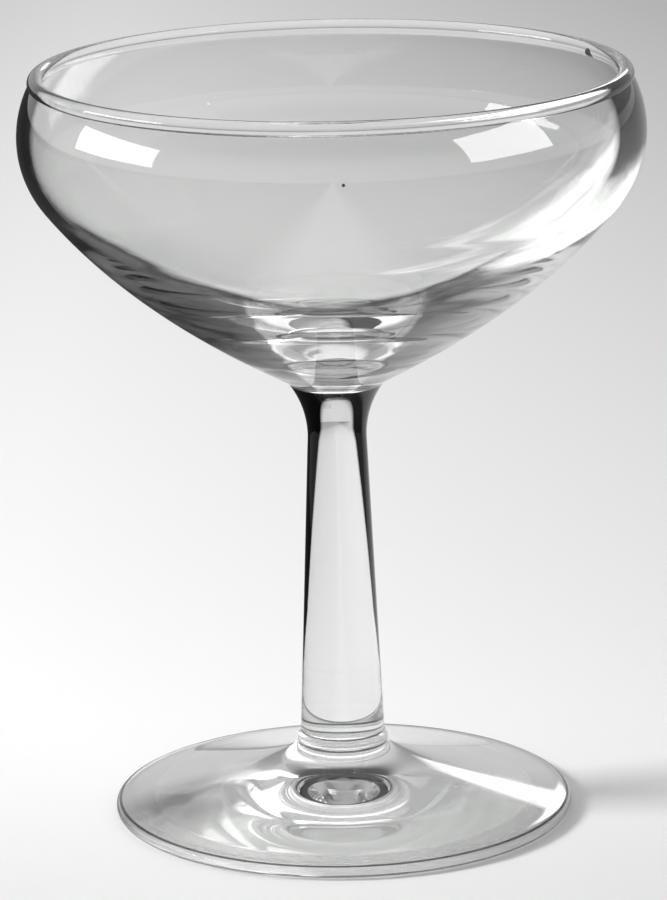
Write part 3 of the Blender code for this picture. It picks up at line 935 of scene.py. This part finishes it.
def window_card(
        name, bearing, lift, away, roll, width, height, mirrored, through, feather, strokes, faces):
    """A bright card that only the glass sees, with one strength mirrored and another seen through it.

    Its edge fades over the feather and is drawn ragged by the strokes. A ray sees it only after so many
    faces of glass.
    """
    card, tree = hung_sheet(name, bearing, lift, away, width, height, roll)
    ray = add_node(tree, "ShaderNodeLightPath")
    strength = add_node(tree, "ShaderNodeMix", {
        "Factor": ray.outputs["Is Transmission Ray"], FLOAT_A: mirrored, FLOAT_B: through}).outputs[0]

    # Solid in the middle, and clear at the edge.
    place = add_node(tree, "ShaderNodeTexCoord").outputs["Object"]
    span = add_node(tree, "ShaderNodeVectorMath", {0: place}, operation="ABSOLUTE").outputs[0]
    reach = add_node(tree, "ShaderNodeSeparateXYZ", {"Vector": span})
    farthest = add_node(tree, "ShaderNodeMath", {
        0: reach.outputs["X"], 1: reach.outputs["Y"]}, operation="MAXIMUM").outputs[0]
    brushed = add_node(tree, "ShaderNodeVectorMath", {
        0: place, 1: STROKE_COUNTS}, operation="MULTIPLY").outputs[0]
    stroke = add_node(tree, "ShaderNodeTexNoise", {"Vector": brushed, "Scale": 1.0}).outputs["Fac"]
    stroke = add_node(tree, "ShaderNodeMath", {
        0: stroke, 1: NOISE_MIDDLE}, operation="SUBTRACT").outputs[0]
    farthest = add_node(tree, "ShaderNodeMath", {
        0: stroke, 1: strokes, 2: farthest}, operation="MULTIPLY_ADD").outputs[0]
    inside = add_node(tree, "ShaderNodeMapRange", {
        "Value": farthest, "From Min": CARD_EDGE, "From Max": CARD_EDGE - feather},
        interpolation_type="SMOOTHSTEP").outputs["Result"]

    # Along the outline a ray is mirrored in the wall and passes fewer faces, so a mirroring counts as two.
    passed = add_node(tree, "ShaderNodeMath", {
        0: ray.outputs["Glossy Depth"], 1: FACES_PER_MIRROR, 2: ray.outputs["Transmission Depth"]},
        operation="MULTIPLY_ADD").outputs[0]
    passed = add_node(tree, "ShaderNodeMath", {
        0: passed, 1: faces - HALF_STEP}, operation="GREATER_THAN").outputs[0]
    inside = add_node(tree, "ShaderNodeMath", {0: inside, 1: passed}, operation="MULTIPLY").outputs[0]
    glow = add_node(tree, "ShaderNodeEmission", {"Strength": strength}).outputs["Emission"]
    open_edge = add_node(tree, "ShaderNodeBsdfTransparent").outputs["BSDF"]
    shown = add_node(tree, "ShaderNodeMixShader", {
        "Fac": inside, 1: open_edge, 2: glow}).outputs["Shader"]
    tree.links.new(shown, tree.nodes["Material Output"].inputs["Surface"])


def window_flag(name, bearing, lift, away, width, height):
    """A grey flag that hides a card from the foot or the far wall; through the glass, it isn't seen."""
    flag, tree = hung_sheet(name, bearing, lift, away, width, height)
    ray = add_node(tree, "ShaderNodeLightPath")
    # Its grey is a glow of its own, which the glass mirrors, not light falling on it.
    grey = add_node(tree, "ShaderNodeEmission", {"Strength": FLAG_GREY}).outputs["Emission"]
    nothing = add_node(tree, "ShaderNodeBsdfTransparent").outputs["BSDF"]
    shown = add_node(tree, "ShaderNodeMixShader", {
        "Fac": ray.outputs["Is Transmission Ray"], 1: grey, 2: nothing}).outputs["Shader"]
    tree.links.new(shown, tree.nodes["Material Output"].inputs["Surface"])


clear_seam = fused_seam("clear_seam")
bowl_weld = fused_seam("bowl_weld", flare()[0].x, WELD_HAZE, BOWL_WELD_SHADE)
foot_weld = fused_seam("foot_weld", STEM_BASE_RADIUS, WELD_HAZE, FOOT_WELD_SHADE)
bowl = turned("bowl_body", bowl_profile(), BOWL_STEPS)
finish_piece(bowl, "bowl", blown_bowl_glass(), [(BOWL_SEAM, bowl_weld)])
stem = turned("stem_body", stem_profile(), STEM_STEPS)
stem_seams = [(BOWL_SEAM, clear_seam), (FOOT_SEAM, clear_seam)]
finish_piece(stem, "stem", pressed_stem_glass(), stem_seams)
foot = turned("foot_body", foot_profile(), FOOT_STEPS)
finish_piece(foot, "foot", pressed_foot_glass(), [(FOOT_SEAM, foot_weld)])

place_camera()
pale_floor()
studio_world()
softbox("key_softbox", **KEY_SOFTBOX)
for card_name, card in CARDS.items():
    window_card(card_name, **card)
for flag_name, flag in FLAGS.items():
    window_flag(flag_name, **flag)

scene = bpy.context.scene
scene.view_settings.view_transform = "Standard"
scene.cycles.max_bounces = MAX_BOUNCES
scene.cycles.glossy_bounces = MAX_BOUNCES
scene.cycles.transmission_bounces = MAX_BOUNCES
scene.cycles.transparent_max_bounces = MAX_BOUNCES
